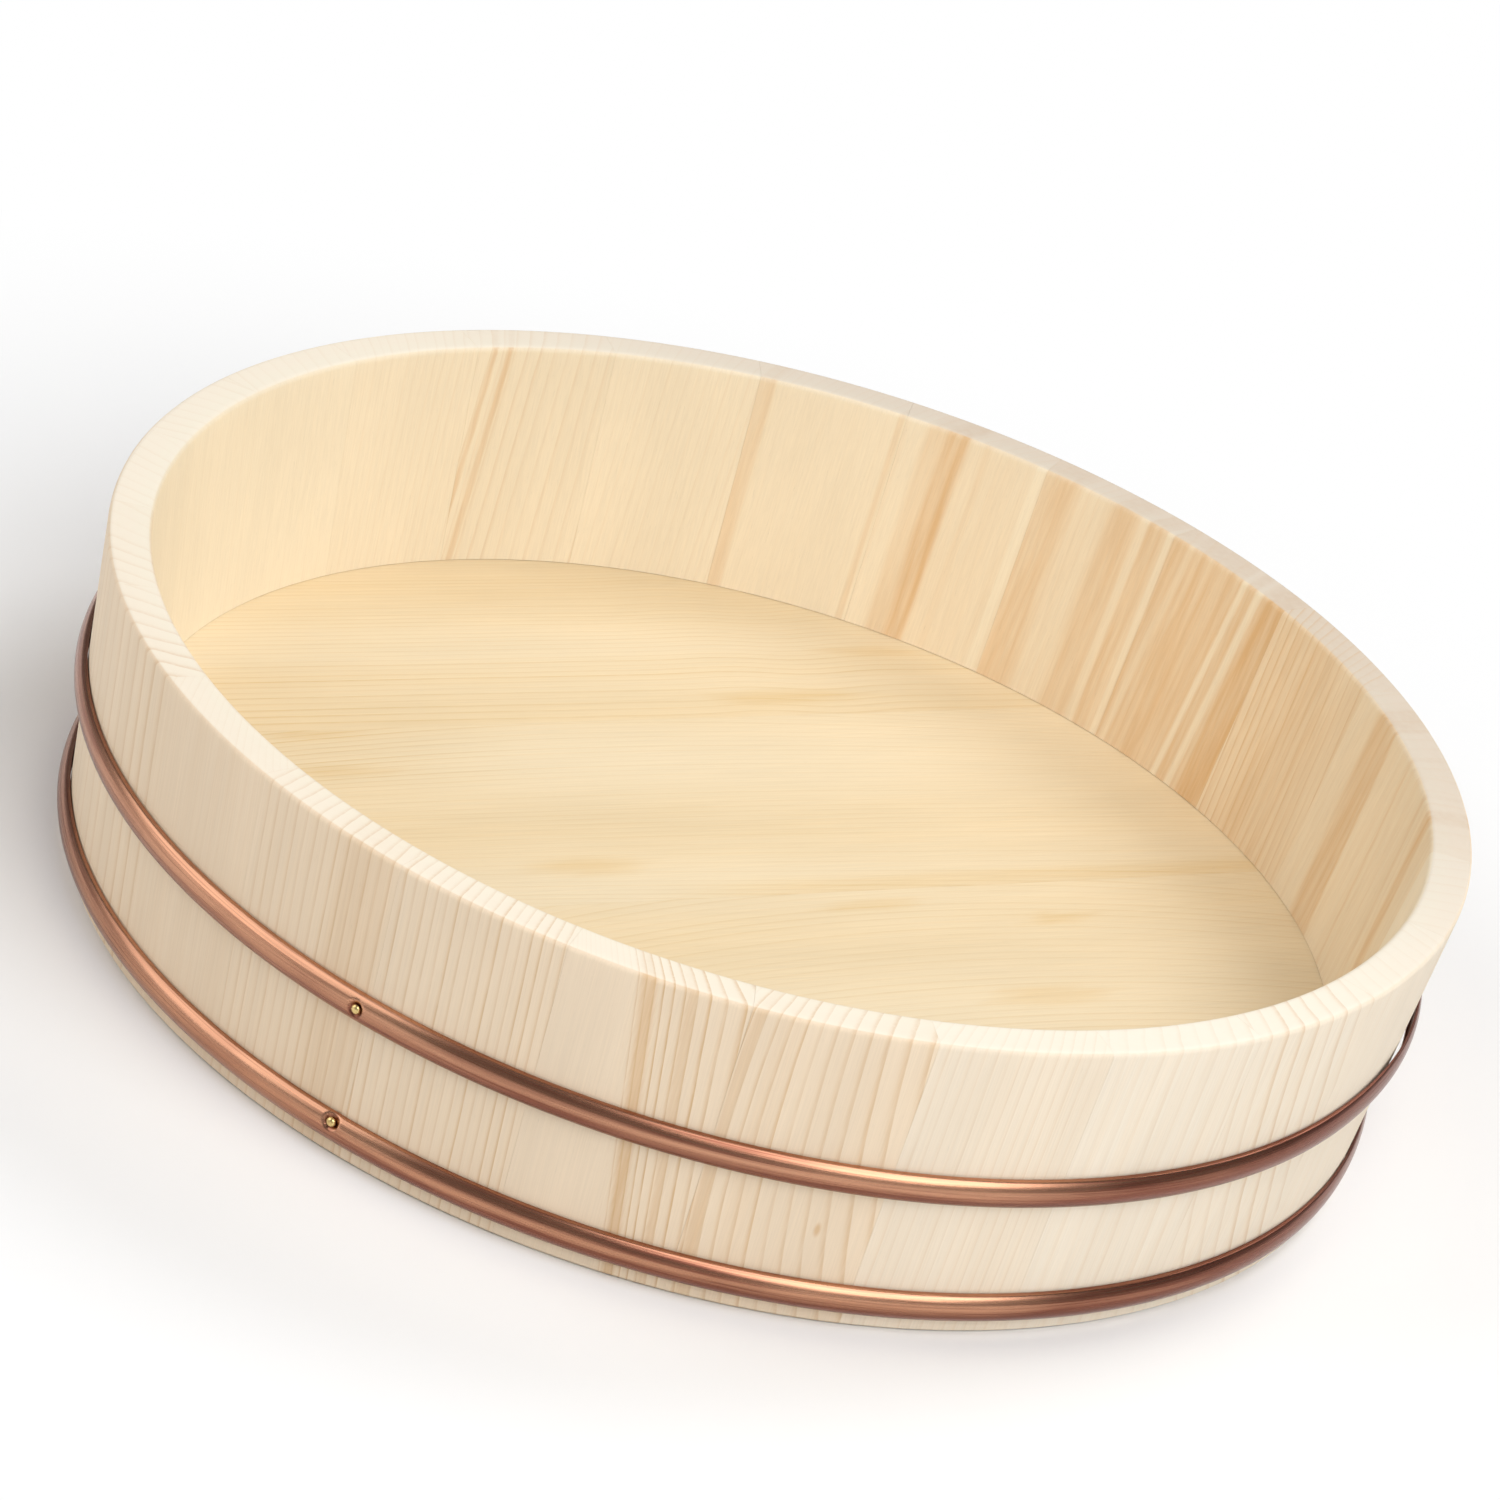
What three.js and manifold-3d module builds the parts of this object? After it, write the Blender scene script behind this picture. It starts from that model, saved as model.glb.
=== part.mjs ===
// A shallow coopered tub for sushi rice. Tapered wooden staves stand round a bottom of
// edge-joined boards that sits in a groove, and two hollow half-round copper hoops, each
// held by a small brass nail, draw the staves together.
// Millimetres, +Z up, with the origin on the table under the middle of the tub.
import * as THREE from 'three';
import { mergeVertices } from 'three/addons/utils/BufferGeometryUtils.js';
import Module from 'manifold-3d';

// Wall of staves
const RIM_DIAMETER = 330;
const BASE_DIAMETER = 316.5;
const HEIGHT = 78.5;
const RIM_WALL = 10.3;
const FLOOR_WALL = 12.9; // wall thickness where the floor meets it
const RIM_ROUNDING = 1.5;
const BASE_CHAMFER = 0.8;
const STAVE_COUNT = 25;
const FIRST_JOINT_ANGLE = 0.5; // degrees from +X, counter-clockwise seen from above
const STAVE_GAP = 0.2; // between neighbouring staves

// Bottom of boards
const FLOOR_HEIGHT = 21.2; // from the table to the upper face of the boards
const BOARD_THICKNESS = 12;
const BOARD_WIDTH = 80;
const BOARD_ANGLE = 36.8; // the way the boards run, in degrees from +X
const MIDDLE_JOINT_OFFSET = -12; // from the tub's axis, square to the boards
const NARROWEST_BOARD = 30; // an outer board narrower than this is left in one with the next
const BOARD_GAP = 0.3; // between neighbouring boards
const GROOVE_DEPTH = 4; // how far the boards reach into the staves
const GROOVE_FIT = 0.3; // clearance round the boards in their groove

// Bamboo pins across the joints of the boards
const PIN_DIAMETER = 4;
const PIN_LENGTH = 30;
const PIN_FROM_BOARD_END = 45;
const PIN_FIT = 0.2; // clearance round a pin in its holes

// Copper hoops
const HOOP_WIDTH = 7.2;
const HOOP_RISE = 2.8; // how far a hoop stands out from the wood
const HOOP_EDGE = 1.1; // height of the upright edges below its bowed face
const HOOP_METAL = 0.8; // thickness of the copper
const HOOP_FIT = 0.2; // clearance between copper and wood
const UPPER_HOOP_HEIGHT = 40.4; // from the table to the middle of the hoop
const LOWER_HOOP_HEIGHT = 8;

// Brass nails, each in a dent of its hoop
const NAIL_ANGLE = 244.6; // degrees from +X, counter-clockwise seen from above
const LOWER_NAIL_LIFT = 1.8; // the lower nail stands this far above the middle of its hoop
const NAIL_HEAD_DIAMETER = 2.4;
const NAIL_HEAD_RISE = 0.9;
const NAIL_SHANK_DIAMETER = 1.3;
const NAIL_BITE = 6; // how far the nail reaches into the wood
const NAIL_POINT = 2; // length of the tapered point
const NAIL_FIT = 0.15; // clearance round the nail
const DENT_RADIUS = 2.5; // of the ball-shaped hollow that the nail pulls into the hoop
const DENT_DEPTH = 1;

// Fineness of the faceted surfaces
const STAVE_FACETS = 4; // across the width of one stave
const ROUNDING_STEPS = 3;
const HOOP_STEPS = 6; // over the bowed face of a hoop
const SMALL_ROUND_SIDES = 12;
const CUT_MARGIN = 5; // how far a cutting body runs past what it cuts

// Finishes
const SPRUCE = { color: 0xead6b4, roughness: 0.72, metalness: 0 };
const SPRUCE_FLOOR = { color: 0xf0dcb2, roughness: 0.68, metalness: 0 };
const BAMBOO = { color: 0xd8c48c, roughness: 0.6, metalness: 0 };
const COPPER = { color: 0xb87358, roughness: 0.34, metalness: 1 };
const BRASS = { color: 0xc8a452, roughness: 0.3, metalness: 1 };

const wasm = await Module();
wasm.setup();

// Sizes worked out from the driving dimensions
const degrees = THREE.MathUtils.degToRad;
const RIM_RADIUS = RIM_DIAMETER / 2;
const BASE_RADIUS = BASE_DIAMETER / 2;
const WALL_LEAN = Math.atan2(RIM_RADIUS - BASE_RADIUS, HEIGHT);
const WALL_SIDES = STAVE_COUNT * STAVE_FACETS;
const BOARD_BOTTOM = FLOOR_HEIGHT - BOARD_THICKNESS;
const BOARD_MIDDLE = FLOOR_HEIGHT - BOARD_THICKNESS / 2;
const GROOVE_RADIUS = innerRadius(FLOOR_HEIGHT) + GROOVE_DEPTH;
const BOTTOM_RADIUS = GROOVE_RADIUS - GROOVE_FIT;
const HOOP_CROWN = HOOP_FIT + HOOP_RISE;
const LOWER_NAIL_HEIGHT = LOWER_HOOP_HEIGHT + LOWER_NAIL_LIFT;
const NAIL_HEAD_RADIUS = NAIL_HEAD_DIAMETER / 2;
const NAIL_SHANK_RADIUS = NAIL_SHANK_DIAMETER / 2;
const DENT_CENTRE = HOOP_CROWN - DENT_DEPTH + DENT_RADIUS;
const NAIL_SEAT = DENT_CENTRE - Math.sqrt(DENT_RADIUS ** 2 - NAIL_HEAD_RADIUS ** 2) + NAIL_FIT;

const tub = new THREE.Group();

// Radius of the wall's outer face at a height
function outerRadius(height) {
  return THREE.MathUtils.lerp(BASE_RADIUS, RIM_RADIUS, height / HEIGHT);
}

// Radius of the wall's straight inner face at a height
function innerRadius(height) {
  const atFloor = outerRadius(FLOOR_HEIGHT) - FLOOR_WALL;
  const atRim = RIM_RADIUS - RIM_WALL;
  return THREE.MathUtils.mapLinear(height, FLOOR_HEIGHT, HEIGHT, atFloor, atRim);
}

// A closed geometry as a solid that can be cut and joined
function solidOf(geometry) {
  const bare = geometry.clone();
  bare.deleteAttribute('normal');
  bare.deleteAttribute('uv');
  const merged = mergeVertices(bare);
  const vertProperties = merged.getAttribute('position').array;
  const triVerts = Uint32Array.from(merged.index.array);
  return new wasm.Manifold(new wasm.Mesh({ numProp: 3, vertProperties, triVerts }));
}

// A solid as a geometry again
function geometryOf(solid) {
  const { vertProperties, triVerts } = solid.getMesh();
  const geometry = new THREE.BufferGeometry();
  geometry.setAttribute('position', new THREE.BufferAttribute(vertProperties, 3));
  geometry.setIndex(new THREE.BufferAttribute(triVerts, 1));
  geometry.computeVertexNormals();
  return geometry;
}

// A named piece with a finish of its own, put into a group
function addPiece(group, name, geometry, finish) {
  const material = new THREE.MeshStandardMaterial({ ...finish, flatShading: true });
  const piece = new THREE.Mesh(geometry, material);
  piece.name = name;
  group.add(piece);
  return piece;
}

// A ring turned round the Z axis from an outline of (radius, height) points that is closed here,
// with its facets in step with the joints between the staves
function turnedRing(outline) {
  const start = degrees(FIRST_JOINT_ANGLE + 90);
  const closed = [...outline, outline[0].clone()];
  return new THREE.LatheGeometry(closed, WALL_SIDES, start).rotateX(Math.PI / 2);
}

// Outline of the wall: up the outer face, over the rounded rim, down the inner face and its groove
function wallOutline() {
  const grooveTop = FLOOR_HEIGHT + GROOVE_FIT;
  const grooveBottom = BOARD_BOTTOM - GROOVE_FIT;
  const shoulder = HEIGHT - RIM_ROUNDING;
  const rimInner = innerRadius(HEIGHT);
  const outline = new THREE.Path();
  outline.moveTo(outerRadius(0) - BASE_CHAMFER, 0);
  outline.lineTo(outerRadius(BASE_CHAMFER), BASE_CHAMFER);
  outline.lineTo(outerRadius(shoulder), shoulder);
  outline.quadraticCurveTo(RIM_RADIUS, HEIGHT, RIM_RADIUS - RIM_ROUNDING, HEIGHT);
  outline.lineTo(rimInner + RIM_ROUNDING, HEIGHT);
  outline.quadraticCurveTo(rimInner, HEIGHT, innerRadius(shoulder), shoulder);
  outline.lineTo(innerRadius(grooveTop), grooveTop);
  outline.lineTo(GROOVE_RADIUS, grooveTop);
  outline.lineTo(GROOVE_RADIUS, grooveBottom);
  outline.lineTo(innerRadius(grooveBottom), grooveBottom);
  outline.lineTo(innerRadius(0), 0);
  return outline.getPoints(ROUNDING_STEPS);
}

// A wedge that holds one stave between its two joints, with half the joint gap off each side
function staveWedge(index) {
  const halfStep = Math.PI / STAVE_COUNT;
  const middle = degrees(FIRST_JOINT_ANGLE) + (2 * index + 1) * halfStep;
  const reach = RIM_DIAMETER + BASE_DIAMETER;
  const wedge = new THREE.Shape();
  wedge.moveTo(0, 0);
  wedge.lineTo(reach * Math.cos(halfStep), -reach * Math.sin(halfStep));
  wedge.lineTo(reach * Math.cos(halfStep), reach * Math.sin(halfStep));
  wedge.closePath();
  const geometry = new THREE.ExtrudeGeometry(wedge, { depth: HEIGHT + 2 * CUT_MARGIN, bevelEnabled: false });
  geometry.translate(STAVE_GAP / 2 / Math.sin(halfStep), 0, -CUT_MARGIN);
  return geometry.rotateZ(middle);
}

// A nail's own frame: its origin is on the wall's outer face and +Y runs out of the wood
function nailFrame(height) {
  const frame = new THREE.Object3D();
  const angle = degrees(NAIL_ANGLE);
  const lean = Math.cos(WALL_LEAN);
  const outward = new THREE.Vector3(lean * Math.cos(angle), lean * Math.sin(angle), -Math.sin(WALL_LEAN));
  const radius = outerRadius(height);
  frame.position.set(radius * Math.cos(angle), radius * Math.sin(angle), height);
  frame.quaternion.setFromUnitVectors(new THREE.Vector3(0, 1, 0), outward);
  frame.updateMatrix();
  return frame;
}

// The hole that a nail needs through its hoop and into the wood
function nailHole(height) {
  const depth = NAIL_BITE + NAIL_FIT;
  const radius = NAIL_SHANK_RADIUS + NAIL_FIT;
  const hole = new THREE.CylinderGeometry(radius, radius, depth + NAIL_SEAT, SMALL_ROUND_SIDES);
  hole.translate(0, (NAIL_SEAT - depth) / 2, 0);
  return solidOf(hole.applyMatrix4(nailFrame(height).matrix));
}

// A ball round the middle of a nail's dent
function dentBall(height, radius) {
  const ball = new THREE.SphereGeometry(radius, SMALL_ROUND_SIDES, SMALL_ROUND_SIDES / 2);
  ball.translate(0, DENT_CENTRE, 0);
  return solidOf(ball.applyMatrix4(nailFrame(height).matrix));
}

// Points over a half-round on the leaning wall, from its lower foot to its upper one
function halfRound(height, halfWidth, rise) {
  const edge = HOOP_FIT + HOOP_EDGE * rise / HOOP_RISE;
  const section = new THREE.Path();
  section.moveTo(-halfWidth, HOOP_FIT);
  section.lineTo(-halfWidth, edge);
  section.quadraticCurveTo(0, 2 * (HOOP_FIT + rise) - edge, halfWidth, edge);
  section.lineTo(halfWidth, HOOP_FIT);
  return section.getPoints(HOOP_STEPS).map(({ x: along, y: out }) => new THREE.Vector2(
    outerRadius(height) + along * Math.sin(WALL_LEAN) + out * Math.cos(WALL_LEAN),
    height + along * Math.cos(WALL_LEAN) - out * Math.sin(WALL_LEAN),
  ));
}

function addStaves(nailHeights) {
  const wall = solidOf(turnedRing(wallOutline()));
  for (let index = 0; index < STAVE_COUNT; index++) {
    let stave = wall.intersect(solidOf(staveWedge(index)));
    for (const height of nailHeights) {
      stave = stave.subtract(nailHole(height));
    }
    addPiece(tub, `stave_${String(index + 1).padStart(2, '0')}`, geometryOf(stave), SPRUCE);
  }
}

// Where the boards meet, across the bottom, with enough wood left outside the last joints
function boardJoints() {
  const joints = [];
  const limit = BOTTOM_RADIUS - NARROWEST_BOARD;
  const first = Math.ceil((-limit - MIDDLE_JOINT_OFFSET) / BOARD_WIDTH);
  for (let place = MIDDLE_JOINT_OFFSET + first * BOARD_WIDTH; place <= limit; place += BOARD_WIDTH) {
    joints.push(place);
  }
  return joints;
}

// The two places of the pins along a joint
function pinPlaces(joint) {
  const halfJoint = Math.sqrt(BOTTOM_RADIUS ** 2 - joint ** 2);
  const place = halfJoint - PIN_FROM_BOARD_END;
  return [-place, place];
}

function pinGeometry(x, joint, clearance) {
  const radius = PIN_DIAMETER / 2 + clearance;
  const length = PIN_LENGTH + 2 * clearance;
  const pin = new THREE.CylinderGeometry(radius, radius, length, SMALL_ROUND_SIDES);
  return pin.translate(x, joint, BOARD_MIDDLE);
}

function addBottom() {
  const bottom = new THREE.Group();
  bottom.rotation.z = degrees(BOARD_ANGLE);
  tub.add(bottom);
  const disc = new THREE.CylinderGeometry(BOTTOM_RADIUS, BOTTOM_RADIUS, BOARD_THICKNESS, WALL_SIDES);
  const panel = solidOf(disc.rotateX(Math.PI / 2).translate(0, 0, BOARD_MIDDLE));
  const joints = boardJoints();
  const pins = joints.flatMap((joint) => pinPlaces(joint).map((x) => ({ x, joint })));
  const reach = BOTTOM_RADIUS + CUT_MARGIN;
  const edges = [-reach, ...joints, reach];
  for (let index = 0; index + 1 < edges.length; index++) {
    const width = edges[index + 1] - edges[index] - BOARD_GAP;
    const strip = new THREE.BoxGeometry(2 * reach, width, BOARD_THICKNESS + 2 * CUT_MARGIN);
    strip.translate(0, (edges[index] + edges[index + 1]) / 2, BOARD_MIDDLE);
    let board = panel.intersect(solidOf(strip));
    for (const { x, joint } of pins) {
      board = board.subtract(solidOf(pinGeometry(x, joint, PIN_FIT)));
    }
    addPiece(bottom, `bottom_board_${index + 1}`, geometryOf(board), SPRUCE_FLOOR);
  }
  pins.forEach(({ x, joint }, index) => {
    addPiece(bottom, `bottom_pin_${index + 1}`, pinGeometry(x, joint, 0), BAMBOO);
  });
}

// A hollow half-round hoop, open towards the wood, pulled in round its nail
function addHoop(name, height, nailHeight) {
  const halfWidth = HOOP_WIDTH / 2;
  const outside = halfRound(height, halfWidth, HOOP_RISE);
  const inside = halfRound(height, halfWidth - HOOP_METAL, HOOP_RISE - HOOP_METAL).reverse();
  const channel = solidOf(turnedRing([...outside, ...inside]));
  const filled = solidOf(turnedRing(outside));
  const dent = dentBall(nailHeight, DENT_RADIUS);
  const dentWall = dentBall(nailHeight, DENT_RADIUS + HOOP_METAL).subtract(dent).intersect(filled);
  const hoop = channel.subtract(dent).add(dentWall).subtract(nailHole(nailHeight));
  addPiece(tub, name, geometryOf(hoop), COPPER);
}

// A round-headed nail, from its point in the wood to the dome of its head
function addNail(name, height) {
  const outline = new THREE.Path();
  outline.moveTo(0, -NAIL_BITE);
  outline.lineTo(NAIL_SHANK_RADIUS, NAIL_POINT - NAIL_BITE);
  outline.lineTo(NAIL_SHANK_RADIUS, NAIL_SEAT);
  outline.lineTo(NAIL_HEAD_RADIUS, NAIL_SEAT);
  outline.absellipse(0, NAIL_SEAT, NAIL_HEAD_RADIUS, NAIL_HEAD_RISE, 0, Math.PI / 2);
  const points = outline.getPoints(ROUNDING_STEPS);
  const nail = addPiece(tub, name, new THREE.LatheGeometry(points, SMALL_ROUND_SIDES), BRASS);
  const frame = nailFrame(height);
  nail.position.copy(frame.position);
  nail.quaternion.copy(frame.quaternion);
}

addStaves([UPPER_HOOP_HEIGHT, LOWER_NAIL_HEIGHT]);
addBottom();
addHoop('hoop_upper', UPPER_HOOP_HEIGHT, UPPER_HOOP_HEIGHT);
addHoop('hoop_lower', LOWER_HOOP_HEIGHT, LOWER_NAIL_HEIGHT);
addNail('hoop_nail_upper', UPPER_HOOP_HEIGHT);
addNail('hoop_nail_lower', LOWER_NAIL_HEIGHT);

export default tub;
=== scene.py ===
import math
from collections import namedtuple

import bmesh
import bpy
from mathutils import Matrix, Vector


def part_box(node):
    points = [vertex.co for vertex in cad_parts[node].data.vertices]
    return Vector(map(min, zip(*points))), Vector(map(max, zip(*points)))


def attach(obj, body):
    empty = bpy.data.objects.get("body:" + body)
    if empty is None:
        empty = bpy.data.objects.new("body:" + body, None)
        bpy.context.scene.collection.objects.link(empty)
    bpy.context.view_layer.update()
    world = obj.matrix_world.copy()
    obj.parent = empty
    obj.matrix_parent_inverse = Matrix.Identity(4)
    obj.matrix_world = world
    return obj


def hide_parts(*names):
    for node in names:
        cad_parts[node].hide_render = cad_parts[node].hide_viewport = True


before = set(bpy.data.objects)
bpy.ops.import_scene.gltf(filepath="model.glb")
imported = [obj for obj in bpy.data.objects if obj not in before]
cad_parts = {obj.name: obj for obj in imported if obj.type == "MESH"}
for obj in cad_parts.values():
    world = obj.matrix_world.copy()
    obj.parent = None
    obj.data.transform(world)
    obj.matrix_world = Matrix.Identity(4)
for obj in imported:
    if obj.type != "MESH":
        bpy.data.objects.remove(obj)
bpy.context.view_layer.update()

bl_info = {
    "name": "Sushi rice tub",
    "version": (1, 0, 0),
    "blender": (4, 5, 0),
    "location": "View3D > Sidebar > Tub",
    "description": "Makes a coopered rice tub piece by piece, with its woods and metals",
    "category": "Object",
}

MILLIMETRE = 0.001
BODY = "root"
STAVE_COUNT = 25
STAVE_ANGLE = 360 / STAVE_COUNT
STAVE_STEPS = 64
BOARD_COUNT = 4
PIN_COUNT = 6
# Pins' room in the boards, as a share of their size
PIN_ROOM = 1.02
# Spacing of the cuts across and along a board, and where the first one lies
CUTS_ACROSS = 6 * MILLIMETRE
CUTS_ALONG = 2 * MILLIMETRE
FIRST_CUT = 0.37
# Tan patches on the bottom, where the rings graze its face, in millimetres:
# middle along and across the boards, half length and half width
FLOOR_PATCHES = ((28, -18.5, 13, 2.5), (76, -28, 8, 3), (55, -60, 17, 4), (-40, 4, 15, 4), (57, 77, 22, 3.5),
                 (92, 98, 14, 2.5), (-82, 66, 14, 1.5), (-84, 49, 16, 2.5))
# A hoop's section: half the angle of its bowed face, the part of it that stays round, its edges' rounding
# and the room under its feet
HOOP_BOW = math.radians(50)
HOOP_ROUND_SHARE = 0.88
HOOP_ROUNDING = 0.3 * MILLIMETRE
HOOP_FOOT = 0.12 * MILLIMETRE
# The stretch of a hoop on each side of its nail that gets finer steps
NAIL_STRETCH = math.radians(4)
NEAR_STEPS = 80
FAR_STEPS = 270
# Slope and half width of the crease beside the lower nail
CREASE_TURN = math.radians(-28)
CREASE_WIDTH = 0.45 * MILLIMETRE
# Degrees round the tub where the hoops lie flatter and the upper one stands off, and how far that reaches
SLACK_PLACE = 352
SLACK_REACH = 11
# Units of the streaks' "run" in a degree, and the shift that gives each hoop its own streaks
RUN_PER_DEGREE = 2.8
RUN_SHIFT = 700
# Room under a nail's head and round its shank, twice the room below its point, and its head's upright edge
HEAD_ROOM = 0.05 * MILLIMETRE
SHANK_ROOM = 0.05 * MILLIMETRE
POINT_ROOM = 0.3 * MILLIMETRE
HEAD_EDGE = 0.12 * MILLIMETRE
# The side of the tub where the sawn ends get painted shade
PAINTED_SHADE_SIDE = (0.6, 0.8, 0)

# How the yearly rings run in one stave. Angles are degrees from the stave's first edge.
# rings, contrast and lean hold a value for each edge: the ring spacing, how dark the late wood is, and
# how far the rings move from foot to rim. turn says how the rings cross the thickness, begin where they
# start, and bands are broad warm or pale stripes as (middle, half width, strength).
Figure = namedtuple("Figure", "rings contrast lean begin turn bend tone bands")
PLAIN = Figure((1.7, 1.5), (0.06, 0.06), (0, 0), 0, -0.4, 0, 0.0, ())
FINE = Figure((1.0, 0.95), (0.4, 0.45), (0, 0), 0, -0.5, 0, 0.04, ())
WIDE = Figure((2.2, 1.8), (0.3, 0.4), (0, 0), 0, -0.5, 0, 0.05, ())
STAVE_FIGURES = {
    1: PLAIN._replace(contrast=(0.15, 0.15), rings=(2.4, 2.4), turn=0.1, lean=(3.6, 3.6), tone=0.27,
                      bands=((4.8, 1.3, 0.45), (8.4, 0.4, 0.2))),
    2: PLAIN._replace(turn=0.2, lean=(2.0, 1.6), tone=0.27,
                      bands=((1.1, 0.25, 0.25), (6.2, 0.25, 0.35), (8.3, 2.0, 0.45))),
    3: FINE._replace(rings=(1.06, 0.98), contrast=(0.6, 0.75), turn=0.67, lean=(2.0, 0.9), tone=0.42,
                     bands=((8, 5, 0.14),)),
    4: WIDE._replace(contrast=(0.15, 0.15), turn=0.3, lean=(-1.6, -2), tone=0.66,
                     bands=((1.5, 1.7, 0.25), (4.2, 0.5, -0.5), (6.2, 0.4, -0.5), (13.3, 0.5, -0.25))),
    5: FINE._replace(contrast=(0.12, 0.12), turn=-0.2, tone=0.46,
                     bands=((0.5, 0.4, -0.3), (2.2, 0.9, 0.15), (3.5, 0.5, -0.25), (5.6, 1.3, 0.12),
                            (9, 2, -0.25), (12.6, 1.8, 0.12))),
    6: FINE._replace(contrast=(0.06, 0.06), lean=(-0.4, -0.4), tone=0.18,
                     bands=((0.8, 0.5, -0.18), (6.2, 0.4, 0.12), (9.3, 1.2, 0.6), (11.3, 1, 0.22),
                            (13.3, 0.9, -0.1))),
    7: FINE._replace(contrast=(0.05, 0.05), lean=(-0.3, -0.3), tone=0.08,
                     bands=((0.6, 0.35, 0.25), (13.8, 0.9, 0.34))),
    8: FINE._replace(contrast=(0.16, 0.16), lean=(-1.8, -2.2)),
    9: FINE._replace(rings=(1.6, 1.4), contrast=(0.38, 0.30), turn=-0.56, lean=(-1.6, -4.0),
                     bands=((12.6, 0.4, 0.5), (14.3, 0.3, 0.45))),
    10: FINE._replace(contrast=(0.16, 0.1), lean=(-3, -1)),
    11: PLAIN,
    12: PLAIN._replace(turn=0.3),
    13: PLAIN,
    14: WIDE._replace(contrast=(0.1, 0.4), tone=0.16),
    15: WIDE._replace(rings=(2.2, 1.9), contrast=(0.25, 0.7), lean=(-0.4, -0.4), tone=0.16),
    16: FINE._replace(contrast=(0.05, 0.15), turn=1.2, tone=0.2),
    17: FINE._replace(rings=(1.1, 1.05), contrast=(0.6, 0.65), turn=0.2, lean=(-0.3, -0.3), tone=0.16,
                      bands=((11.5, 2.6, 0.14),)),
    18: FINE._replace(rings=(1.0, 0.84), contrast=(0.7, 0.85), turn=0.1, lean=(-0.6, -0.8), tone=0.10),
    19: FINE._replace(rings=(0.22, 1.3), contrast=(1.0, 0.9), begin=7.6, turn=0.3, lean=(-4.6, -2.2),
                      bend=0.6, tone=0.08, bands=((8.1, 0.6, 0.55), (11.1, 0.4, 0.35))),
    20: WIDE._replace(rings=(1.05, 1.9), contrast=(0.75, 0.7), turn=-0.4, lean=(-0.4, -4.4),
                      bend=2.0, tone=0.08, bands=((0.5, 0.5, 0.4), (3.2, 0.9, 0.1))),
    21: FINE._replace(contrast=(0.25, 0.25), turn=-0.6, lean=(-0.2, -0.2), tone=-0.3),
    22: WIDE._replace(rings=(1.7, 1.9), contrast=(0.25, 0.25), lean=(-0.6, -1.6), tone=-0.5),
    23: WIDE._replace(rings=(1.9, 2.1), contrast=(0.6, 0.6), lean=(-6, -9), bend=2.4, tone=-0.45),
    24: PLAIN._replace(tone=-0.4),
    25: PLAIN._replace(turn=0.4, tone=-0.2),
}
SEEN_FROM_INSIDE = range(1, 14)
# A small knot in a stave, in the millimetres of the "place" that grain_stave gives
STAVE_FLECKS = ((1828.2, 0, 645),)


def length(name, description, default):
    return bpy.props.FloatProperty(name=name, description=description, default=default, unit="LENGTH",
                                   subtype="DISTANCE", precision=5)


def angle(name, description, degrees):
    return bpy.props.FloatProperty(name=name, description=description, default=math.radians(degrees),
                                   unit="ROTATION", subtype="ANGLE")


def colour(name, description, default):
    return bpy.props.FloatVectorProperty(name=name, description=description, default=default, size=3,
                                         min=0, max=1, subtype="COLOR")


class TubSizes(bpy.types.PropertyGroup):
    """Sizes of the tub's pieces"""

    rim_radius: length("Rim radius", "Outer radius of the wall at the rim", 0.165)
    base_radius: length("Base radius", "Outer radius of the wall at the table", 0.15825)
    height: length("Height", "Height of the wall", 0.0785)
    rim_wall: length("Rim wall", "Thickness of the wall at the rim", 0.0103)
    floor_wall: length("Floor wall", "Thickness of the wall at the floor", 0.0129)
    rim_rounding: length("Rim rounding", "Size of the rounding on the rim's edges", 0.0015)
    base_chamfer: length("Base chamfer", "Size of the chamfer at the foot of the wall", 0.0008)
    stave_gap: length("Stave gap", "Gap between two staves at the rim", 0.00004)
    first_joint: angle("First joint", "Angle of the first joint between staves", 0.5)
    floor_height: length("Floor height", "Upper face of the bottom boards above the table", 0.0212)
    board_thickness: length("Board thickness", "Thickness of the bottom boards", 0.012)
    board_width: length("Board width", "Width of the inner bottom boards", 0.080)
    board_gap: length("Board gap", "Gap between two bottom boards", 0.00005)
    middle_joint: length("Middle joint", "Place of the middle board joint, square to the boards", -0.012)
    board_direction: angle("Board direction", "The way the bottom boards run", 36.8)
    groove_depth: length("Groove depth", "How far the boards reach into the staves", 0.004)
    groove_fit: length("Groove fit", "Clearance of the boards in their groove", 0.00015)


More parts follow.
